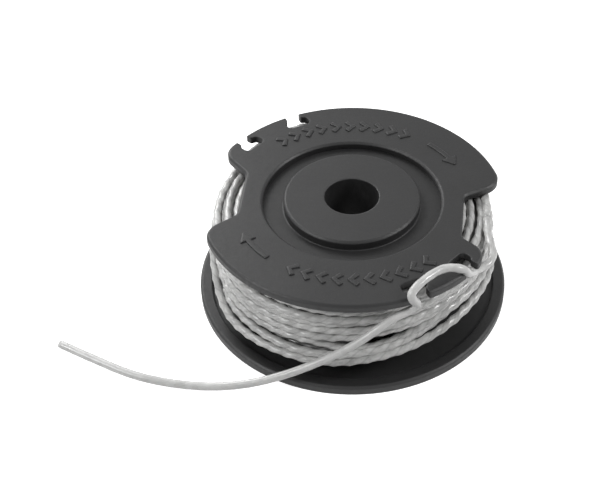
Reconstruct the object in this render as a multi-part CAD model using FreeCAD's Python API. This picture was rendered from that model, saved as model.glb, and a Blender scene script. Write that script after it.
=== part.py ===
import FreeCAD, Part
import math
import os

# Replacement line spool of a string trimmer, in millimetres. +Z is the spool's axis, z = 0 is the underside
# of the lower flange, and angles are measured from +X towards +Y, seen from above.

# Cutting line
line_diameter = 1.65
line_facets = 5
turn_gap = 0.46

# Spool body
overall_height = 23.4
lower_flange_radius = 32.0
lower_flange_thickness = 1.9
rim_band_width = 2.5
rim_band_rise = 0.7
drum_radius = 19.0
wall = 1.6
boss_radius = 13.75
boss_rise = 0.5
bore_radius = 5.5
hub_wall = 2.1
hub_foot_height = 1.0
edge_bevel = 0.4

# Ribs and drive lugs inside the drum
rib_count = 6
rib_thickness = 1.2
rib_foot_at_hub = 10.5
rib_foot_at_drum = 14.5
lug_count = 8
lug_width = 3.0
lug_reach = 2.8
lug_slant = 1.2
lug_foot_height = 0.8
lug_height = 5.6

# Upper flange
upper_flange_radius = 30.6
upper_flange_thickness = 1.6
flange_opening_radius = 17.9
leg_count = 3
leg_width = 3.0
leg_thickness = 1.2
leg_depth = 2.2
leg_reach = 0.7
press_clearance = 0.05

# Line notches in the upper flange: a mouth at the rim that opens into a wider rounded pocket
notch_angles = (115.3, 140.2, 295.3, 318.2)
notch_mouth_width = 3.1
notch_depth = 4.4
pocket_height = 2.7
pocket_hook_reach = 2.8
pocket_heel_reach = 2.3
pocket_round = 1.1
notch_tip_round = 0.5

# Grip cut-outs in the upper flange: direction of each one's straight inner edge, how far the edge reaches
# clockwise and counterclockwise from there, and how far its two sides flare
grip_depth = 8.25
grip_directions = (175.0, 354.3)
grip_reaches = ((6.2, 6.5), (9.2, 3.0))
grip_flares = ((47.0, 41.0), (37.0, 31.0))
grip_inner_round = 1.6
grip_rim_round = 4.2

# Winding: the lower turns lie lowest on the front left and highest on the front right
winding_margin_top = 0.5
winding_margin_bottom = 2.9
winding_radius = 27.1
winding_tilt = 3.4
winding_low_at = 255.0
winding_high_at = 335.0
winding_starts_at = -32.0

# The last turn of the line, laid over the others: it climbs on the left and comes back in on top behind
over_turn_radius = 29.35
over_turn_margin_top = 0.1
over_turn_leaves_at = 325.0
over_turn_is_out_at = 235.0
over_turn_comes_in_at = 88.0
over_turn_is_in_at = 0.0
climb_starts_at = 222.0
climb_ends_at = 122.0
over_turn_ends_at = -4.0

# Inner layers: a plain ring with a sloping underside
core_foot_radius = 20.2
core_clearance = 0.15

# First end of the line, anchored through the drum's wall
anchor_angle = 200.0
anchor_height = 9.0
anchor_hole_clearance = 0.25
anchor_reach = 4.5

# Sizes that follow from those above
line_radius = line_diameter / 2.0
started_turn = (winding_starts_at - winding_low_at) % 360.0 / 360.0
seat_height = overall_height - boss_rise - upper_flange_thickness
flange_top = overall_height - boss_rise
drum_inner_radius = drum_radius - wall
hub_radius = bore_radius + hub_wall
floor_height = lower_flange_thickness - rim_band_rise
notch_bottom_radius = upper_flange_radius - notch_depth
grip_edge_distance = upper_flange_radius - grip_depth
first_turn_height = seat_height - winding_margin_top - line_radius
last_turn_height = floor_height + winding_margin_bottom + line_radius
over_turn_height = seat_height - over_turn_margin_top - line_radius
turns_that_fit = (first_turn_height - last_turn_height - winding_tilt) / (line_diameter + turn_gap)
wound_turns = math.floor(turns_that_fit - started_turn) + started_turn
overlap = 0.4


def point(radius, angle, height):
    turn = math.radians(angle)
    return FreeCAD.Vector(radius * math.cos(turn), radius * math.sin(turn), height)


def revolved(outline):
    corners = [FreeCAD.Vector(radius, 0.0, height) for radius, height in outline]
    face = Part.Face(Part.makePolygon(corners + corners[:1]))
    return face.revolve(FreeCAD.Vector(0, 0, 0), FreeCAD.Vector(0, 0, 1), 360)


def ring_edges(shape, rings):
    found = []
    for edge in shape.Edges:
        if not isinstance(edge.Curve, Part.Circle):
            continue
        centre = edge.Curve.Center
        for radius, height in rings:
            on_axis = math.hypot(centre.x, centre.y) < 1e-4
            if on_axis and abs(edge.Curve.Radius - radius) < 1e-4 and abs(centre.z - height) < 1e-4:
                found.append(edge)
    return found


def upright_edges(shape, wanted):
    found = []
    for edge in shape.Edges:
        if len(edge.Vertexes) == 2:
            start, end = edge.Vertexes[0].Point, edge.Vertexes[1].Point
            upright = abs(start.x - end.x) < 1e-5 and abs(start.y - end.y) < 1e-5
            if upright and wanted(start):
                found.append(edge)
    return found


def prism(corners, low, high):
    points = [FreeCAD.Vector(x, y, low) for x, y in corners]
    face = Part.Face(Part.makePolygon(points + points[:1]))
    return face.extrude(FreeCAD.Vector(0, 0, high - low))


def slab(inner, outer, clockwise, counterclockwise, low, high):
    """A block that reaches from inner to outer along +X and from -clockwise to +counterclockwise along Y."""
    corners = [(inner, -clockwise), (outer, -clockwise), (outer, counterclockwise), (inner, counterclockwise)]
    return prism(corners, low, high)


def turned(shape, angle):
    copy = shape.copy()
    copy.rotate(FreeCAD.Vector(0, 0, 0), FreeCAD.Vector(0, 0, 1), angle)
    return copy


# Spool body: one moulding of lower flange, drum, end wall, boss and hub tube
def spool_section():
    return [
        (drum_inner_radius, 0.0),
        (lower_flange_radius, 0.0),
        (lower_flange_radius, lower_flange_thickness),
        (lower_flange_radius - rim_band_width, lower_flange_thickness),
        (lower_flange_radius - rim_band_width, floor_height),
        (drum_radius, floor_height),
        (drum_radius, seat_height),
        (boss_radius, seat_height),
        (boss_radius, overall_height),
        (bore_radius, overall_height),
        (bore_radius, hub_foot_height),
        (hub_radius, hub_foot_height),
        (hub_radius, overall_height - wall),
        (boss_radius - wall, overall_height - wall),
        (boss_radius - wall, seat_height - wall),
        (drum_inner_radius, seat_height - wall),
    ]


def inner_rib():
    start = hub_radius - overlap
    end = drum_inner_radius + overlap
    step = boss_radius - wall / 2.0
    side = [
        (start, rib_foot_at_hub),
        (end, rib_foot_at_drum),
        (end, seat_height - wall / 2.0),
        (step, seat_height - wall / 2.0),
        (step, overall_height - wall / 2.0),
        (start, overall_height - wall / 2.0),
    ]
    corners = [FreeCAD.Vector(radius, -rib_thickness / 2.0, height) for radius, height in side]
    face = Part.Face(Part.makePolygon(corners + corners[:1]))
    return face.extrude(FreeCAD.Vector(0, rib_thickness, 0))


def drive_lug():
    tip = drum_inner_radius - lug_reach
    root = drum_inner_radius + overlap
    half = lug_width / 2.0
    corners = [(tip, -half), (root, -half), (root, half + lug_slant), (tip, half)]
    return prism(corners, lug_foot_height, lug_foot_height + lug_height)


def leg_slot():
    inner = drum_radius - leg_reach - press_clearance
    half = leg_width / 2.0 + press_clearance
    outer = drum_radius + wall
    return slab(inner, outer, half, half, seat_height - leg_depth - press_clearance, seat_height + wall)


def spool_body():
    body = revolved(spool_section())
    rims = [(lower_flange_radius, lower_flange_thickness), (boss_radius, overall_height)]
    body = body.makeChamfer(edge_bevel, ring_edges(body, rims))
    for index in range(rib_count):
        body = body.fuse(turned(inner_rib(), 360.0 * index / rib_count))
    for index in range(lug_count):
        body = body.fuse(turned(drive_lug(), 360.0 * (index + 0.5) / lug_count))
    for index in range(leg_count):
        body = body.cut(turned(leg_slot(), 360.0 * (index + 0.25) / leg_count))
    hole_radius = line_radius + anchor_hole_clearance
    start = point(drum_inner_radius - wall, anchor_angle, anchor_height)
    outward = point(1.0, anchor_angle, 0.0)
    body = body.cut(Part.makeCylinder(hole_radius, 3.0 * wall, start, outward))
    return body.removeSplitter()


# Upper flange: a disc with notches and grip cut-outs, and legs that fit into slots in the drum's end
def line_notch(low, high):
    pocket_top = notch_bottom_radius + pocket_height
    pocket = slab(notch_bottom_radius, pocket_top, pocket_hook_reach, pocket_heel_reach, low, high)
    pocket = pocket.makeFillet(pocket_round, upright_edges(pocket, lambda place: True))
    half = notch_mouth_width / 2.0
    outside = upper_flange_radius + wall
    mouth = slab(notch_bottom_radius + pocket_round, outside, half, half, low, high)
    beyond_rim = slab(upper_flange_radius, outside, 2.0 * half, 2.0 * half, low, high)
    cutter = pocket.fuse(mouth).fuse(beyond_rim).removeSplitter()
    tips = upright_edges(
        cutter,
        lambda place: abs(abs(place.y) - half) < 1e-4 and place.x < outside - 1e-3,
    )
    return cutter.makeFillet(notch_tip_round, tips)


def grip_cutout(low, high, reaches, flares):
    outside = upper_flange_radius + wall
    depth = outside - grip_edge_distance
    spread = [depth * math.tan(math.radians(flare)) for flare in flares]
    corners = [
        (grip_edge_distance, -reaches[0]),
        (outside, -reaches[0] - spread[0]),
        (outside, reaches[1] + spread[1]),
        (grip_edge_distance, reaches[1]),
    ]
    cutter = prism(corners, low, high)
    inner_corners = upright_edges(cutter, lambda place: place.x < grip_edge_distance + 1e-3)
    return cutter.makeFillet(grip_inner_round, inner_corners)


def upper_flange():
    disc = Part.makeCylinder(upper_flange_radius, upper_flange_thickness, FreeCAD.Vector(0, 0, seat_height))
    low = seat_height - wall
    high = flange_top + wall
    for direction, reaches, flares in zip(grip_directions, grip_reaches, grip_flares):
        disc = disc.cut(turned(grip_cutout(low, high, reaches, flares), direction))
    on_rim = upper_flange_radius - 1e-3
    rim_corners = upright_edges(disc, lambda place: math.hypot(place.x, place.y) > on_rim)
    disc = disc.makeFillet(grip_rim_round, rim_corners)
    top_edges = [edge for edge in disc.Edges if edge.BoundBox.ZMin > flange_top - 1e-4]
    disc = disc.makeChamfer(edge_bevel, top_edges)
    for angle in notch_angles:
        disc = disc.cut(turned(line_notch(low, high), angle))
    disc = disc.cut(Part.makeCylinder(flange_opening_radius, high - low, FreeCAD.Vector(0, 0, low)))
    flange = disc.makeChamfer(edge_bevel, ring_edges(disc, [(flange_opening_radius, flange_top)]))
    half = leg_width / 2.0
    leg_low = seat_height - leg_depth
    leg = slab(drum_radius - leg_reach, drum_radius + leg_thickness, half, half, leg_low, seat_height + overlap)
    for index in range(leg_count):
        flange = flange.fuse(turned(leg, 360.0 * (index + 0.25) / leg_count))
    return flange.removeSplitter()


# Winding: the outer turns of the line as one tube
def smooth(share):
    share = min(max(share, 0.0), 1.0)
    return share * share * (3.0 - 2.0 * share)


def winding_start_angle():
    return winding_low_at + 360.0 * wound_turns


def raised_share(angle):
    """How far the turns are raised at this angle: from 0 on the front left to 1 on the front right."""
    turn = (angle - winding_low_at) % 360.0
    front = winding_high_at - winding_low_at
    if turn < front:
        return smooth(turn / front)
    return smooth((360.0 - turn) / (360.0 - front))


def winding_place(angle):
    """Centre of the line at an angle that falls as the line runs on, clockwise from above."""
    wound = (winding_start_angle() - angle) / 360.0
    share = min(wound / wound_turns, 1.0)
    level = first_turn_height + (last_turn_height + winding_tilt - first_turn_height) * share
    height = level - winding_tilt * share ** 2 * (1.0 - raised_share(angle))
    out = smooth((over_turn_leaves_at - angle) / (over_turn_leaves_at - over_turn_is_out_at))
    back_in = smooth((over_turn_comes_in_at - angle) / (over_turn_comes_in_at - over_turn_is_in_at))
    radius = winding_radius + (over_turn_radius - winding_radius) * (out - back_in)
    climb = smooth((climb_starts_at - angle) / (climb_starts_at - climb_ends_at))
    height = height + (over_turn_height - height) * climb
    return point(radius, angle, height)


def winding_direction(angle):
    step = 0.01
    direction = winding_place(angle - step) - winding_place(angle + step)
    return direction.normalize()


def biarc(start, start_way, end, end_way):
    """Two tangent arcs from start to end, with the given directions there."""
    span = end - start
    ways = start_way + end_way
    a = 2.0 * (1.0 - start_way.dot(end_way))
    b = 2.0 * span.dot(ways)
    c = -span.dot(span)
    if abs(a) < 1e-9:
        reach = -c / b
    else:
        reach = (-b + math.sqrt(b * b - 4.0 * a * c)) / (2.0 * a)
    first_corner = start + start_way * reach
    second_corner = end - end_way * reach
    join = (first_corner + second_corner) * 0.5
    return [rounded(start, first_corner, join), rounded(join, second_corner, end)]


def rounded(start, corner, end):
    """The arc from start to end that is tangent to the lines from the corner to both."""
    middle = (start + end) * 0.5
    half = (end - start).Length / 2.0
    reach = (corner - start).Length
    cosine = half / reach
    top = middle + (corner - middle) * (cosine / (1.0 + cosine))
    return Part.Arc(start, top, end).toShape()


def line_section(place, way, up, radius, facets):
    """A regular polygon square to the line, with a flat towards the surface under it."""
    side = way.cross(up)
    side.normalize()
    upward = side.cross(way)
    corners = []
    for index in range(facets):
        turn = 2.0 * math.pi * (index + 0.5) / facets
        corners.append(place + side * (radius * math.cos(turn)) + upward * (radius * math.sin(turn)))
    return Part.makePolygon(corners + corners[:1])


def swept(edges, section):
    path = Part.Wire(edges)
    return path.makePipeShell([section], True, False)


def wound_line():
    start_angle = winding_start_angle()
    end_angle = over_turn_ends_at
    quarters = round((start_angle - end_angle) / 90.0)
    step = (start_angle - end_angle) / quarters
    angles = [start_angle - step * index for index in range(quarters + 1)]
    start_way = winding_direction(start_angle)
    end_way = winding_direction(end_angle)
    lead_in = winding_place(start_angle) - start_way * line_diameter
    lead_out = winding_place(end_angle) + end_way * line_diameter
    edges = [Part.LineSegment(lead_in, winding_place(start_angle)).toShape()]
    for high, low in zip(angles, angles[1:]):
        edges += biarc(winding_place(high), winding_direction(high), winding_place(low), winding_direction(low))
    edges.append(Part.LineSegment(winding_place(end_angle), lead_out).toShape())
    section = line_section(lead_in, start_way, FreeCAD.Vector(0, 0, 1), line_radius, line_facets)
    return swept(edges, section), edges, lead_out, end_way


def least_gap_to_itself(edges):
    """Least distance between the surfaces of neighbouring turns, measured on points along the line."""
    spacing = 1.5
    points = []
    for edge in edges:
        count = max(2, round(edge.Length / spacing))
        points += edge.discretize(count)[:-1]
    skip = round(line_diameter * 8.0 / spacing)
    gap = 1e9
    for index, here in enumerate(points):
        for other in points[index + skip:]:
            gap = min(gap, here.distanceToPoint(other))
    return gap - line_diameter


# Inner layers of the line: a plain ring round the drum under the outer turns
def line_core():
    inner = drum_radius + press_clearance
    leg_outer = math.hypot(drum_radius + leg_thickness, leg_width / 2.0) + press_clearance
    leg_foot = seat_height - leg_depth - press_clearance
    outer = winding_radius - line_radius - core_clearance
    low = floor_height + press_clearance
    high = seat_height - press_clearance
    return revolved([
        (inner, low),
        (core_foot_radius, low),
        (outer, low + outer - core_foot_radius),
        (outer, high),
        (leg_outer, high),
        (leg_outer, leg_foot),
        (inner, leg_foot),
    ])


# Free end of the line: it leaves the winding straight on, and then follows chosen points over the flange and
# out to its cut end
tail_lead = 4.4
tail_points = [
    (27.4, -12.6, 19.9),
    (26.2, -16.6, 19.4),
    (23.3, -19.7, 20.0),
    (22.4, -20.3, 22.9),
    (20.6, -21.5, 25.1),
    (17.2, -22.3, 25.2),
    (14.2, -24.6, 25.1),
    (12.1, -26.9, 24.8),
    (12.6, -27.4, 21.7),
    (11.7, -28.3, 19.3),
    (9.0, -29.6, 19.0),
    (5.2, -31.2, 17.8),
    (0.2, -32.5, 14.6),
    (-6.5, -33.6, 10.4),
    (-14.0, -34.0, 6.6),
    (-22.0, -33.6, 3.6),
    (-31.0, -32.2, 1.6),
    (-40.5, -29.4, 0.9),
    (-50.0, -25.4, 0.9),
    (-59.4, -19.0, 0.9),
]


def tail_route(start, way):
    return [start, start + way * tail_lead] + [FreeCAD.Vector(*place) for place in tail_points]


def bent_line(route):
    """Straight runs along the route, joined by the largest tangent arcs that they allow."""
    edges = []
    radii = []
    last = route[0]
    for before, corner, after in zip(route, route[1:], route[2:]):
        into = corner - before
        out = after - corner
        turn = into.getAngle(out)
        reach = 0.45 * min(into.Length, out.Length)
        radii.append(reach / math.tan(turn / 2.0))
        start = corner - into.normalize() * reach
        end = corner + out.normalize() * reach
        edges.append(Part.LineSegment(last, start).toShape())
        edges.append(rounded(start, corner, end))
        last = end
    edges.append(Part.LineSegment(last, route[-1]).toShape())
    return edges, radii


def line_tail(start, way):
    route = tail_route(start, way)
    edges, radii = bent_line(route)
    section = line_section(route[0], way, FreeCAD.Vector(0, 0, 1), line_radius, line_facets)
    return swept(edges, section), edges, radii


def line_anchor_end():
    outer = point(drum_radius, anchor_angle, anchor_height)
    inward = point(-1.0, anchor_angle, 0.0)
    section = line_section(outer, inward, FreeCAD.Vector(0, 0, 1), line_radius, line_facets)
    return Part.Face(section).extrude(inward * (wall + anchor_reach))


def tube_length(edges):
    return sum(edge.Length for edge in edges)


def section_area(facets):
    return 0.5 * facets * line_radius ** 2 * math.sin(2.0 * math.pi / facets)


def main():
    os.makedirs("parts", exist_ok=True)
    turns, turn_path, turns_end, end_way = wound_line()
    tail, tail_path, tail_radii = line_tail(turns_end, end_way)
    nodes = {
        "spool_body": spool_body(),
        "upper_flange": upper_flange(),
        "line_core": line_core(),
        "line_outer_turns": turns,
        "line_tail": tail,
        "line_anchor_end": line_anchor_end(),
    }
    for name, shape in nodes.items():
        shape.exportStep("parts/" + name + ".step")
        print(name, "solids", len(shape.Solids), "valid", shape.isValid(), "volume", round(shape.Volume, 1))
    area = section_area(line_facets)
    print("least gap between turns", round(least_gap_to_itself(turn_path), 3))
    print("turns: volume over section times length", round(turns.Volume / area / tube_length(turn_path), 4))
    print("tail: length", round(tube_length(tail_path), 1), "radii", [round(r, 1) for r in tail_radii])
    print("tail: volume over section times length", round(tail.Volume / area / tube_length(tail_path), 4))


main()
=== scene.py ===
import math

import bpy
import numpy as np
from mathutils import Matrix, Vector


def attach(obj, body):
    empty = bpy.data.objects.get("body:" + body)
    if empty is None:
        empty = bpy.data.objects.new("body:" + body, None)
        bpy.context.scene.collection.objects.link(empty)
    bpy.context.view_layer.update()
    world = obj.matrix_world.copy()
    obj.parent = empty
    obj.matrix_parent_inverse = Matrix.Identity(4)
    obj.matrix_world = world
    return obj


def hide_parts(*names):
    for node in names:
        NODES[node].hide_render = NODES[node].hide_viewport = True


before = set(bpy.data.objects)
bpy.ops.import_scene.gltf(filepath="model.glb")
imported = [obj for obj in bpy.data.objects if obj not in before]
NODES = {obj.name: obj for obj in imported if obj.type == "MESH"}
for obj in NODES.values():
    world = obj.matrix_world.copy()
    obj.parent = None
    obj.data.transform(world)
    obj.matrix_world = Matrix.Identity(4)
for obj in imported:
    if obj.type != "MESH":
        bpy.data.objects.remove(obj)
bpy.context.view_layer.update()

MM = 0.001


def added(name, data):
    """A new object with the data, in the scene."""
    made = bpy.data.objects.new(name, data)
    bpy.context.scene.collection.objects.link(made)
    return made


# Camera: raised 44 degrees, on the spool's front side
camera_data = bpy.data.cameras.new("camera")
camera_data.sensor_width = 36.0
camera_data.lens = 78.72
camera = added("camera", camera_data)
camera.location = (0.0, -0.20015, 0.19419)
camera.rotation_euler = (0.823889, 0.028300, 0.027599)
camera_data.clip_start = 0.01
camera_data.clip_end = 10.0
bpy.context.scene.camera = camera


# Free end of the line: the route's points in metres
TAIL_POINTS = [
    (0.026919, -0.003536, 0.020375),
    (0.026612, -0.007926, 0.020375),
    (0.0273, -0.0116, 0.0201),
    (0.0273, -0.0143, 0.0196),
    (0.0255, -0.0164, 0.0195),
    (0.0236, -0.0180, 0.0200),
    (0.0222, -0.0205, 0.0213),
    (0.0212, -0.0218, 0.0238),
    (0.0199, -0.0225, 0.0249),
    (0.0180, -0.0224, 0.0250),
    (0.0159, -0.0234, 0.0251),
    (0.0138, -0.0253, 0.0251),
    (0.0121, -0.0271, 0.0249),
    (0.0109, -0.0284, 0.0242),
    (0.0111, -0.0290, 0.0229),
    (0.0124, -0.0280, 0.0211),
    (0.0110, -0.0281, 0.0194),
    (0.0080, -0.0293, 0.0189),
    (0.0044, -0.0308, 0.0167),
    (0.0000, -0.0314, 0.0130),
    (-0.0060, -0.0312, 0.0086),
    (-0.0125, -0.0314, 0.0052),
    (-0.0195, -0.0316, 0.0027),
    (-0.0270, -0.0312, 0.0012),
    (-0.0350, -0.0301, 0.00086),
    (-0.0430, -0.0280, 0.00085),
    (-0.0510, -0.0239, 0.00085),
    (-0.0591, -0.0194, 0.00085),
]
ROUTE_RESOLUTION = 24

# The line, in millimetres. Its section is a rounded bar, and its twist is how far the two edges and the four
# weaker ones stand out, as shares of the radius.
LINE_RADIUS = 0.82
TWIST_PITCH = 6.4
WOUND_TWIST = (0.095, 0.035)
FREE_TWIST = (0.06, 0.03)
JOINING_TWIST = (0.041, 0.008)
UP = (0, 0, 1)


def route_line(points, resolution):
    """Points in millimetres along the smooth line that the route's points steer."""
    curve = bpy.data.curves.new("route", "CURVE")
    curve.dimensions = "3D"
    spline = curve.splines.new("NURBS")
    spline.points.add(len(points) - 1)
    for place, point in zip(spline.points, points):
        place.co = (*point, 1.0)
    spline.order_u = 3
    spline.use_endpoint_u = True
    spline.resolution_u = resolution
    holder = added("route", curve)
    mesh = bpy.data.meshes.new_from_object(holder)
    line = np.array([tuple(v.co) for v in mesh.vertices]) / MM
    bpy.data.objects.remove(holder)
    bpy.data.curves.remove(curve)
    bpy.data.meshes.remove(mesh)
    return line


def kept_up(line, start):
    """A direction beside the line that turns with it as little as it can."""
    ways = np.gradient(line, axis=0)
    ways /= np.linalg.norm(ways, axis=1)[:, None]
    up = np.array(start, float)
    ups = []
    for way in ways:
        up = up - way * up.dot(way)
        up /= np.linalg.norm(up)
        ups.append(up.copy())
    return ups


def tube(name, centres, ups, twist=WOUND_TWIST, sides=16, from_end=False):
    """The line along the centres, with its twist counted from the first centre or from the last one."""
    centres = np.asarray(centres, float)
    ways = np.gradient(centres, axis=0)
    ways /= np.linalg.norm(ways, axis=1)[:, None]
    across = np.cross(ways, np.asarray(ups, float))
    across /= np.linalg.norm(across, axis=1)[:, None]
    over = np.cross(across, ways)
    steps = np.linalg.norm(np.diff(centres, axis=0), axis=1)
    run = np.concatenate([[0.0], np.cumsum(steps)])
    if from_end:
        run -= run[-1]
    around = 2.0 * math.pi * np.arange(sides) / sides
    facing = around[None, :] - (2.0 * math.pi * run / TWIST_PITCH)[:, None]
    two, four = (np.broadcast_to(size, run.shape)[:, None] for size in twist)
    reach = LINE_RADIUS * (1.0 + two * np.cos(2.0 * facing) + four * np.cos(4.0 * facing))
    rings = (centres[:, None, :] + across[:, None, :] * (reach * np.cos(around))[..., None]
             + over[:, None, :] * (reach * np.sin(around))[..., None])
    index = np.arange(len(centres) * sides).reshape(-1, sides)
    here, there = index[:-1], index[1:]
    quads = np.stack([here, np.roll(here, -1, 1), np.roll(there, -1, 1), there], -1).reshape(-1, 4)
    faces = quads.tolist() + [index[0][::-1].tolist(), index[-1].tolist()]
    mesh = bpy.data.meshes.new(name)
    mesh.from_pydata((rings.reshape(-1, 3) * MM).tolist(), [], faces)
    mesh.polygons.foreach_set("use_smooth", [True] * len(quads) + [False] * 2)
    layer = mesh.uv_layers.new(name="along")
    vertex = np.empty(len(mesh.loops), int)
    mesh.loops.foreach_get("vertex_index", vertex)
    layer.data.foreach_set("uv", np.stack([run[vertex // sides], (vertex % sides) / sides], -1).ravel())
    mesh.update()
    piece = added(name, mesh)
    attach(piece, "root")
    return piece


# The free end starts with the winding's twist, and the twist grows weaker towards the cut end
tail_line = route_line(TAIL_POINTS, ROUTE_RESOLUTION)
calm = np.clip(np.linspace(0.9, -0.2, len(tail_line)), 0.15, 1.0)
joined = np.clip(np.linspace(1.0, -7.0, len(tail_line)), 0.0, 1.0)
tail_twist = tuple(free * calm + more * joined for free, more in zip(FREE_TWIST, JOINING_TWIST))
tail = tube("line_tail_end", tail_line, kept_up(tail_line, UP), tail_twist)
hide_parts("line_tail")


# Winding: the outer turns slope, low on the front left and high on the front right, and part on the front. The
# last turn is laid over the others, climbs on the left and comes back in on top. Angles are in degrees, heights
# and radii in millimetres, and the line is followed from the top turn down, with the angle falling.
# Neighbouring turns overlap, by 0.8 mm at the most, where they part.
WOUND_TURNS = 8.208
WOUND_RADIUS = 27.25
FIRST_HEIGHT = 20.0
LOW_SIDE, HIGH_SIDE = 255.0, 332.0
LAST_HEIGHT_LOW, LAST_HEIGHT_HIGH = 5.2, 9.6
START_ANGLE = LOW_SIDE + 360.0 * WOUND_TURNS
END_ANGLE = -4.0
WOUND_STEP = 0.8

# The last turn: where each change starts, and over how many degrees it is made
OVER_RADIUS = 28.6
OVER_HEIGHT = 20.375
BACK_RADIUS = 27.15
GOES_OUT, GOES_OUT_OVER = 388.0, 42.0
CLIMBS, CLIMBS_OVER = 220.0, 98.0
COMES_BACK, COMES_BACK_OVER = 90.0, 90.0

# Unevenness of the turns before it: waves of period, phase and size
LOOSE_UNTIL, LOOSE_OVER = 380.0, 60.0
LOOSE_ONSET = 5.0
LOOSE_UPWARD = ((83.0, 0.3, 0.09), (131.0, 1.9, 0.09), (217.0, 4.1, 0.12))
LOOSE_OUTWARD = ((97.0, 2.3, 0.10), (149.0, 0.4, 0.14), (253.0, 5.2, 0.16))
NESTING = 0.55


def smooth(share):
    share = min(max(share, 0.0), 1.0)
    return share * share * (3.0 - 2.0 * share)


def on_circle(radius, angle, height):
    turn = math.radians(angle)
    return (radius * math.cos(turn), radius * math.sin(turn), height)


def wander(angle, waves):
    return sum(size * math.sin(2.0 * math.pi * angle / period + phase) for period, phase, size in waves)


def raised_share(angle):
    """None on the winding's low side and one on its high side."""
    turn = (angle - LOW_SIDE) % 360.0
    front = HIGH_SIDE - LOW_SIDE
    if turn < front:
        return smooth(turn / front)
    return smooth((360.0 - turn) / (360.0 - front))


def lowest(angle):
    """Height of the lowest turn's centre."""
    return LAST_HEIGHT_LOW + (LAST_HEIGHT_HIGH - LAST_HEIGHT_LOW) * raised_share(angle)


# Where the turns part on the front: degrees passed since PARTED_FROM, and the shifts outward and upward there for
# each passing turn, the lowest one first
PASSES = 9
PARTED_FROM = 190.0
PARTED_AT = (0.0, 25.0, 60.0, 88.0, 122.0)
NO_SHIFT = (0,) * PASSES
PARTED_OUT = (
    NO_SHIFT,
    (0.7, 0.45, 0, 0, 0, 0, 0, 0, 0),
    (0.1, 0.75, -0.1, 0, 0, 0, 0, 0, 0),
    (0.25, 0.75, -0.35, -0.2, 0.3, -0.2, 0.2, 0, 0),
    NO_SHIFT,
)
PARTED_UP = (
    NO_SHIFT,
    (-0.2, -0.2, 0, 0, 0, 0, 0, 0, 0),
    (0, -0.28, 0.32, 0.35, 0.25, 0.15, 0.1, 0, 0),
    (0.6, 0.03, -2.15, 0.85, 0.6, 0.32, 0.15, 0, 0),
    NO_SHIFT,
)


def parted(angle):
    """The shifts outward and upward of the turn that passes at the angle."""
    turn, beyond = divmod(angle - PARTED_FROM, 360.0)
    if turn < 0 or turn >= PASSES or beyond >= PARTED_AT[-1]:
        return 0.0, 0.0
    stage = max(index for index in range(len(PARTED_AT) - 1) if PARTED_AT[index] <= beyond)
    share = smooth((beyond - PARTED_AT[stage]) / (PARTED_AT[stage + 1] - PARTED_AT[stage]))
    return tuple(rows[stage][int(turn)] * (1.0 - share) + rows[stage + 1][int(turn)] * share
                 for rows in (PARTED_OUT, PARTED_UP))


def outer_place(angle):
    """Radius and height of the winding's centre line."""
    share = min((START_ANGLE - angle) / 360.0 / WOUND_TURNS, 1.0)
    height = FIRST_HEIGHT + (LAST_HEIGHT_HIGH - FIRST_HEIGHT) * share
    height -= (LAST_HEIGHT_HIGH - lowest(angle)) * share
    loose = smooth((angle - LOOSE_UNTIL) / LOOSE_OVER) * smooth(share * LOOSE_ONSET)
    height += loose * wander(angle, LOOSE_UPWARD)
    radius = WOUND_RADIUS + loose * wander(angle, LOOSE_OUTWARD)
    radius += NESTING * loose * raised_share(angle) * math.cos(math.pi * (angle - HIGH_SIDE) / 360.0)
    out = smooth((GOES_OUT - angle) / GOES_OUT_OVER)
    back_in = smooth((COMES_BACK - angle) / COMES_BACK_OVER)
    radius += (OVER_RADIUS - radius) * out + (BACK_RADIUS - OVER_RADIUS) * back_in
    height += (OVER_HEIGHT - height) * smooth((CLIMBS - angle) / CLIMBS_OVER)
    outward, upward = parted(angle)
    return radius + outward, height + upward


angles = np.append(np.arange(START_ANGLE, END_ANGLE, -WOUND_STEP), END_ANGLE)
centres = []
for angle in angles:
    radius, height = outer_place(float(angle))
    centres.append(on_circle(radius, float(angle), height))
centres.append(tuple(tail_line[0]))
winding = tube("line_winding", centres, [UP] * len(centres), from_end=True)
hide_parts("line_outer_turns")


# Inner layers: the turns under the outer ones, those on the sloping underside and on top, and a plain body. They
# fall in at HOLLOW_FROM to HOLLOW_UNTIL, behind the place where the outer turns part.
INNER_STEP = 1.5
INNER_SIDES = 12
LEAD_IN = -70.0
HOLLOW_DEPTH = 2.0
HOLLOW_FROM, HOLLOW_FROM_OVER = 252.0, 16.0
HOLLOW_UNTIL, HOLLOW_UNTIL_OVER = 316.0, 18.0
HOLLOW_HEIGHT = 11.0
HOLLOW_REACH, HOLLOW_FADE = 2.2, 2.0
UNDER_TURNS = 9.0
UNDER_RADIUS = 25.95
UNDER_HIGH = 19.3
UNDER_WAVES = ((113.0, 0.0, 0.12), (171.0, 2.0, 0.14))
BENEATH_TURNS = 4.6
BENEATH_RADIUS, BENEATH_TAPER = 26.0, 4.9
BENEATH_HEIGHT, BENEATH_DROP = 2.2, 2.1
TOP_TURNS = 3.0
TOP_RADII = ((0.0, 0.5, 1.0, 1.5, 2.0, 2.5, 3.0), (26.0, 25.0, 23.85, 23.1, 22.2, 21.5, 20.9))
TOP_HEIGHT = 19.9
TOP_START_DROP, TOP_START_OVER = 0.25, 150.0
TOP_OUTWARD = ((151.0, 1.0, 0.10), (83.0, 4.0, 0.08))
TOP_UPWARD = ((119.0, 0.4, 0.10), (71.0, 3.0, 0.08))


def hollow(angle):
    """How far the inner layers fall in at the angle."""
    azimuth = angle % 360.0
    return (HOLLOW_DEPTH * smooth((azimuth - HOLLOW_FROM) / HOLLOW_FROM_OVER)
            * smooth((HOLLOW_UNTIL - azimuth) / HOLLOW_UNTIL_OVER))


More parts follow.
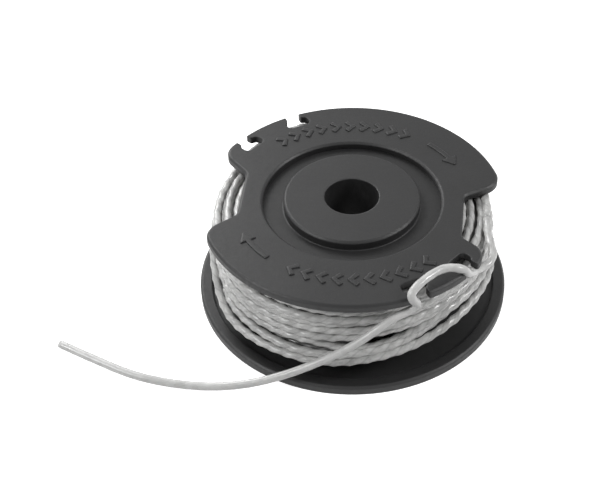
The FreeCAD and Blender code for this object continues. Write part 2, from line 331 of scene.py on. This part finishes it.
def under_place(angle):
    share = max(angle, 0.0) / (360.0 * UNDER_TURNS)
    height = UNDER_HIGH + (lowest(angle) + 0.1 - UNDER_HIGH) * share
    radius = UNDER_RADIUS + wander(angle, UNDER_WAVES)
    radius -= hollow(angle) * smooth(HOLLOW_REACH - abs(height - HOLLOW_HEIGHT) / HOLLOW_FADE)
    return on_circle(radius, angle, height)


def beneath_place(angle):
    share = angle / (360.0 * BENEATH_TURNS)
    height = BENEATH_HEIGHT + (lowest(angle) - BENEATH_DROP) * (1.0 - share)
    return on_circle(BENEATH_RADIUS - BENEATH_TAPER * share, angle, height)


def top_place(angle):
    radius = np.interp(angle / 360.0, *TOP_RADII) + wander(angle, TOP_OUTWARD)
    height = TOP_HEIGHT - TOP_START_DROP * smooth(1.0 - angle / TOP_START_OVER) + wander(angle, TOP_UPWARD)
    return on_circle(radius, angle, height)


layers = []
for name, place_at, start, turns in (("line_inner_layers", under_place, LEAD_IN, UNDER_TURNS),
                                     ("line_under_turns", beneath_place, 0.0, BENEATH_TURNS),
                                     ("line_top_turns", top_place, LEAD_IN, TOP_TURNS)):
    places = [place_at(angle) for angle in np.arange(start, 360.0 * turns, INNER_STEP)]
    layers.append(tube(name, places, [UP] * len(places), sides=INNER_SIDES))
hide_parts("line_core")


def ring_body(name, outline_at, steps=180):
    """A closed ring round the axis, its outline of radius and height given for each angle."""
    points = []
    for index in range(steps):
        angle = 360.0 * index / steps
        points += [tuple(MM * value for value in on_circle(radius, angle, height))
                   for radius, height in outline_at(angle)]
    count = len(outline_at(0.0))
    faces = []
    for index in range(steps):
        here, there = index * count, (index + 1) % steps * count
        for corner in range(count):
            after = (corner + 1) % count
            faces.append((here + corner, there + corner, there + after, here + after))
    mesh = bpy.data.meshes.new(name)
    mesh.from_pydata(points, [], faces)
    mesh.update()
    piece = added(name, mesh)
    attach(piece, "root")
    return piece


HEART_INNER, HEART_SIDE = 19.05, 25.4
HEART_LOW, HEART_HIGH = 1.3, 19.3
HEART_FOOT = 20.3
LEGS_RADIUS, LEGS_FOOT = 20.4, 18.9


def heart_outline(angle):
    """The plain body's outline, with a space at the top for the upper flange's legs."""
    side = HEART_SIDE - hollow(angle)
    return [(HEART_INNER, HEART_LOW), (HEART_FOOT, HEART_LOW), (side, lowest(angle) + 0.2), (side, 18.4),
            (24.6, HEART_HIGH), (LEGS_RADIUS, HEART_HIGH), (LEGS_RADIUS, LEGS_FOOT), (HEART_INNER, LEGS_FOOT)]


heart = ring_body("line_heart", heart_outline)


# First end of the line, straight through the hole in the drum
ANCHOR_ANGLE, ANCHOR_HEIGHT = 200.0, 9.0
ANCHOR_OUTER, ANCHOR_INNER = 19.0, 13.1
anchor_line = [on_circle(radius, ANCHOR_ANGLE, ANCHOR_HEIGHT)
               for radius in np.linspace(ANCHOR_OUTER, ANCHOR_INNER, 20)]
anchor = tube("line_start", anchor_line, [UP] * len(anchor_line))
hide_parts("line_anchor_end")


# Raised direction marks on the upper flange: rows of chevrons, and arrows along an arc
FLANGE_TOP = 22.9
MARK_HEIGHT = 0.22
MARK_FOOT = -0.05
MARK_SLOPE = 0.12
CHEVRONS, CHEVRONS_FROM, CHEVRON_PITCH = 10, 128.0, 7.4
CHEVRON_CORNERS = ((24.9, 1.6), (23.5, -1.8), (22.1, 1.6))
CHEVRON_WIDTHS = (0.9, 1.0, 0.9)
ARROW_RADIUS = 23.7
ARROW_FROM, ARROW_STEP, ARROW_STEPS = 47.0, 1.5, 11
ARROW_HEAD, ARROW_HEAD_WIDTHS = (32.0, 26.5), (3.2, 0.3)


def polar(radius, angle):
    return Vector((radius * math.cos(math.radians(angle)), radius * math.sin(math.radians(angle)), 0.0))


def raised_strip(points, faces, spots, widths):
    """A strip with sloping sides along the spots in the flange's plane, as wide as given at each spot."""
    base = len(points)
    for index, spot in enumerate(spots):
        way = spots[min(index + 1, len(spots) - 1)] - spots[max(index - 1, 0)]
        side = Vector((-way.y, way.x, 0.0)).normalized()
        half = widths[index] / 2.0
        for reach, level in ((half + MARK_SLOPE, MARK_FOOT), (half, MARK_HEIGHT),
                             (-half, MARK_HEIGHT), (-half - MARK_SLOPE, MARK_FOOT)):
            place = spot + side * reach
            points.append((place.x * MM, place.y * MM, (FLANGE_TOP + level) * MM))
    for index in range(len(spots) - 1):
        here, there = base + 4 * index, base + 4 * index + 4
        for corner in range(4):
            after = (corner + 1) % 4
            faces.append((here + corner, here + after, there + after, there + corner))
    last = base + 4 * (len(spots) - 1)
    faces.append((base + 3, base + 2, base + 1, base))
    faces.append((last, last + 1, last + 2, last + 3))


def direction_marks():
    points, faces = [], []
    for turn in (0.0, 180.0):
        for index in range(CHEVRONS):
            angle = CHEVRONS_FROM - CHEVRON_PITCH * index + turn
            chevron = [polar(radius, angle + shift) for radius, shift in CHEVRON_CORNERS]
            raised_strip(points, faces, chevron, CHEVRON_WIDTHS)
        arc = [polar(ARROW_RADIUS, ARROW_FROM + turn - step * ARROW_STEP) for step in range(ARROW_STEPS)]
        raised_strip(points, faces, arc, [1.0] * len(arc))
        head = [polar(ARROW_RADIUS, angle + turn) for angle in ARROW_HEAD]
        raised_strip(points, faces, head, ARROW_HEAD_WIDTHS)
    mesh = bpy.data.meshes.new("direction_marks")
    mesh.from_pydata(points, [], faces)
    mesh.update()
    piece = added("direction_marks", mesh)
    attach(piece, "root")
    return piece


marks = direction_marks()


# Materials
def material(name):
    made = bpy.data.materials.new(name)
    made.use_nodes = True
    nodes, links = made.node_tree.nodes, made.node_tree.links
    nodes.clear()
    return made, nodes, links, nodes.new("ShaderNodeOutputMaterial")


def noise(nodes, links, vector, scale, detail, roughness):
    texture = nodes.new("ShaderNodeTexNoise")
    texture.inputs["Scale"].default_value = scale
    texture.inputs["Detail"].default_value = detail
    texture.inputs["Roughness"].default_value = roughness
    links.new(vector, texture.inputs["Vector"])
    return texture.outputs["Fac"]


def levels(nodes, links, value, old, new, clamp=True):
    """The value, with the old range brought to the new one."""
    node = nodes.new("ShaderNodeMapRange")
    node.clamp = clamp
    for name, number in zip(("From Min", "From Max", "To Min", "To Max"), (*old, *new)):
        node.inputs[name].default_value = number
    links.new(value, node.inputs["Value"])
    return node.outputs["Result"]


def reckoned(nodes, links, operation, *values):
    node = nodes.new("ShaderNodeMath")
    node.operation = operation
    for socket, value in zip(node.inputs, values):
        links.new(value, socket)
    return node.outputs["Value"]


def mixed(nodes, links, factor, first, second, blend="MIX"):
    """Two colours mixed, each a tuple or another node's output; without a factor, the second one counts in full."""
    node = nodes.new("ShaderNodeMix")
    node.data_type = "RGBA"
    node.blend_type = blend
    for name, colour in (("A", first), ("B", second)):
        if isinstance(colour, tuple):
            node.inputs[name].default_value = (*colour, 1.0)
        else:
            links.new(colour, node.inputs[name])
    if factor is None:
        node.inputs["Factor"].default_value = 1.0
    else:
        links.new(factor, node.inputs["Factor"])
    return node.outputs["Result"]


def bump(nodes, links, height, distance, strength, normal=None):
    node = nodes.new("ShaderNodeBump")
    node.inputs["Distance"].default_value = distance
    node.inputs["Strength"].default_value = strength
    links.new(height, node.inputs["Height"])
    if normal is not None:
        links.new(normal, node.inputs["Normal"])
    return node.outputs["Normal"]


def moulded_plastic():
    """Black nylon with a fine grain; its colour is made paler at the edges, a painted highlight."""
    made, nodes, links, output = material("moulded_black_nylon")
    place = nodes.new("ShaderNodeTexCoord").outputs["Object"]
    shader = nodes.new("ShaderNodeBsdfPrincipled")
    grain = noise(nodes, links, place, scale=3200.0, detail=2.0, roughness=0.6)
    cloud = noise(nodes, links, place, scale=90.0, detail=4.0, roughness=0.6)
    fleck = noise(nodes, links, place, scale=900.0, detail=3.0, roughness=0.7)
    tone = levels(nodes, links, cloud, (0.3, 0.7), (0.0, 1.0))
    edge = nodes.new("ShaderNodeBevel")
    edge.samples = 6
    edge.inputs["Radius"].default_value = 0.00045
    bend = nodes.new("ShaderNodeVectorMath")
    bend.operation = "DOT_PRODUCT"
    links.new(edge.outputs["Normal"], bend.inputs[0])
    links.new(nodes.new("ShaderNodeNewGeometry").outputs["Normal"], bend.inputs[1])
    # The Bevel normal's tilt marks the edges, where a paler colour is painted in as a highlight
    plain = levels(nodes, links, bend.outputs["Value"], (0.72, 0.97), (0.0, 1.0))
    skin = mixed(nodes, links, tone, (0.010, 0.010, 0.0103), (0.015, 0.015, 0.0153))
    painted_edge_highlight = mixed(nodes, links, plain, (0.045, 0.045, 0.046), skin)
    links.new(painted_edge_highlight, shader.inputs["Base Color"])
    links.new(levels(nodes, links, fleck, (0.3, 0.7), (0.42, 0.56)), shader.inputs["Roughness"])
    shader.inputs["IOR"].default_value = 1.43
    fine = bump(nodes, links, grain, distance=0.00006, strength=0.35, normal=edge.outputs["Normal"])
    rough = bump(nodes, links, fleck, distance=0.0001, strength=0.18, normal=fine)
    links.new(rough, shader.inputs["Normal"])
    links.new(shader.outputs["BSDF"], output.inputs["Surface"])
    return made


# The line's colours run from a dark to a light one. The wound line's are darker than the free end's, painted shade
# among the turns
WOUND_COLOURS = ((0.36, 0.36, 0.355), (0.60, 0.60, 0.59))
# The inner layers' colours, darker still: painted shade deep under the outer turns and in the hollow behind the
# parted turns
SHADED_COLOURS = ((0.14, 0.14, 0.138), (0.26, 0.26, 0.256))
FREE_COLOURS = ((0.50, 0.50, 0.495), (0.64, 0.64, 0.63))
SHADE_FADES_OVER = 14.0


def split(nodes, links, vector):
    parts = nodes.new("ShaderNodeSeparateXYZ")
    links.new(vector, parts.inputs[0])
    return parts.outputs["X"], parts.outputs["Y"]


def crease(nodes, links, along):
    """None in the line's two twisted grooves, where shade is painted into the colour, and one beside them."""
    run, around = split(nodes, links, along)
    twists = levels(nodes, links, run, (0.0, TWIST_PITCH), (0.0, 1.0), False)
    turn = reckoned(nodes, links, "SUBTRACT", around, twists)
    phase = levels(nodes, links, turn, (0.0, 1.0), (0.0, 4.0 * math.pi), False)
    return levels(nodes, links, reckoned(nodes, links, "COSINE", phase), (-1.0, -0.75), (0.0, 1.0))


def line_material(name, colours, groove_shade, shade_fades=False):
    """The line's nylon; where the painted shade fades, it starts with the wound line's darker colours and brightens
    over its first millimetres.
    """
    made, nodes, links, output = material(name)
    coordinate = nodes.new("ShaderNodeTexCoord")
    along, place = coordinate.outputs["UV"], coordinate.outputs["Object"]
    shader = nodes.new("ShaderNodeBsdfPrincipled")
    stretched = nodes.new("ShaderNodeMapping")
    stretched.inputs["Scale"].default_value = (0.35, 5.0, 1.0)
    links.new(along, stretched.inputs["Vector"])
    streak = noise(nodes, links, stretched.outputs["Vector"], scale=1.6, detail=4.0, roughness=0.6)
    cloud = noise(nodes, links, place, scale=260.0, detail=3.0, roughness=0.6)
    grain = noise(nodes, links, place, scale=2600.0, detail=2.0, roughness=0.6)
    both = reckoned(nodes, links, "ADD", streak, cloud)
    tone = levels(nodes, links, both, (0.7, 1.3), (0.0, 1.0))
    # Painted shade: the colour is darkened in the twisted grooves
    groove_shading = mixed(nodes, links, crease(nodes, links, along), (groove_shade,) * 3, (1.0, 1.0, 1.0))
    body = mixed(nodes, links, tone, *colours)
    if shade_fades:
        run, _ = split(nodes, links, along)
        change = levels(nodes, links, run, (0.0, SHADE_FADES_OVER), (0.0, 1.0))
        body = mixed(nodes, links, change, mixed(nodes, links, tone, *WOUND_COLOURS), body)
    links.new(mixed(nodes, links, None, body, groove_shading, "MULTIPLY"), shader.inputs["Base Color"])
    links.new(levels(nodes, links, cloud, (0.3, 0.7), (0.18, 0.34)), shader.inputs["Roughness"])
    shader.inputs["IOR"].default_value = 1.5
    shader.inputs["Subsurface Weight"].default_value = 0.15
    shader.inputs["Subsurface Radius"].default_value = (1.0, 1.0, 0.95)
    shader.inputs["Subsurface Scale"].default_value = 0.0006
    fine = bump(nodes, links, grain, distance=0.00004, strength=0.25)
    rough = bump(nodes, links, streak, distance=0.00012, strength=0.25, normal=fine)
    links.new(rough, shader.inputs["Normal"])
    links.new(shader.outputs["BSDF"], output.inputs["Surface"])
    return made


plastic = moulded_plastic()
wound_line = line_material("wound_line", WOUND_COLOURS, groove_shade=0.80)
shaded_line = line_material("shaded_line", SHADED_COLOURS, groove_shade=0.90)
free_line = line_material("free_line", FREE_COLOURS, groove_shade=1.0, shade_fades=True)
for name in ("spool_body", "upper_flange"):
    NODES[name].data.materials.clear()
    NODES[name].data.materials.append(plastic)
marks.data.materials.append(plastic)
tail.data.materials.append(free_line)
for piece in (winding, *layers[1:], heart, anchor):
    piece.data.materials.append(wound_line)
# The inner layers take the darker colours, painted shade
layers[0].data.materials.append(shaded_line)
for name in ("line_core", "line_outer_turns", "line_tail", "line_anchor_end"):
    NODES[name].data.materials.clear()
    NODES[name].data.materials.append(wound_line)


# Floor, world and lamps
FLOOR_REACH = 2
FLOOR_BELOW = 0.00003
WORLD_LIGHT, WORLD_SEEN = 0.11, 1.0


def seen_directly(nodes, links):
    """One for rays from the camera, reflections and rays that pass through; none for the rest."""
    rays = nodes.new("ShaderNodeLightPath")
    value = rays.outputs["Is Camera Ray"]
    for other in ("Is Glossy Ray", "Is Transmission Ray"):
        value = reckoned(nodes, links, "MAXIMUM", value, rays.outputs[other])
    return value


def pale_surface(name, colour, glow_strength):
    made, nodes, links, output = material(name)
    diffuse = nodes.new("ShaderNodeBsdfDiffuse")
    diffuse.inputs["Color"].default_value = (*colour, 1.0)
    glow = nodes.new("ShaderNodeEmission")
    glow.inputs["Color"].default_value = (1.0, 1.0, 1.0, 1.0)
    strength = levels(nodes, links, seen_directly(nodes, links), (0.0, 1.0), (0.0, glow_strength))
    links.new(strength, glow.inputs["Strength"])
    both = nodes.new("ShaderNodeAddShader")
    links.new(diffuse.outputs["BSDF"], both.inputs[0])
    links.new(glow.outputs["Emission"], both.inputs[1])
    links.new(both.outputs["Shader"], output.inputs["Surface"])
    return made


floor_mesh = bpy.data.meshes.new("floor")
corners = [(-FLOOR_REACH, -FLOOR_REACH, 0), (FLOOR_REACH, -FLOOR_REACH, 0),
           (FLOOR_REACH, FLOOR_REACH, 0), (-FLOOR_REACH, FLOOR_REACH, 0)]
floor_mesh.from_pydata(corners, [], [(0, 1, 2, 3)])
floor_mesh.materials.append(pale_surface("pale_floor", (0.62, 0.62, 0.62), glow_strength=0.90))
floor = added("floor", floor_mesh)
floor.location.z = -FLOOR_BELOW

world = bpy.data.worlds.new("studio")
world.use_nodes = True
bpy.context.scene.world = world
nodes, links = world.node_tree.nodes, world.node_tree.links
nodes.clear()
sky = nodes.new("ShaderNodeBackground")
sky.inputs["Color"].default_value = (1.0, 1.0, 1.0, 1.0)
strength = levels(nodes, links, seen_directly(nodes, links), (0.0, 1.0), (WORLD_LIGHT, WORLD_SEEN))
links.new(strength, sky.inputs["Strength"])
links.new(sky.outputs["Background"], nodes.new("ShaderNodeOutputWorld").inputs["Surface"])


def lamp(name, place, size, power):
    """A square lamp that faces the spool."""
    data = bpy.data.lights.new(name, "AREA")
    data.shape = "SQUARE"
    data.size = size
    data.energy = power
    piece = added(name, data)
    piece.location = place
    piece.rotation_euler = (-Vector(place)).to_track_quat("-Z", "Y").to_euler()


lamp("back_left", (-0.17, 0.21, 0.19), size=0.16, power=0.75)
lamp("left", (-0.52, -0.25, 0.42), size=0.24, power=2.5)
lamp("right", (0.56, -0.06, 0.42), size=0.22, power=3.1)

bpy.context.scene.view_settings.view_transform = "Standard"
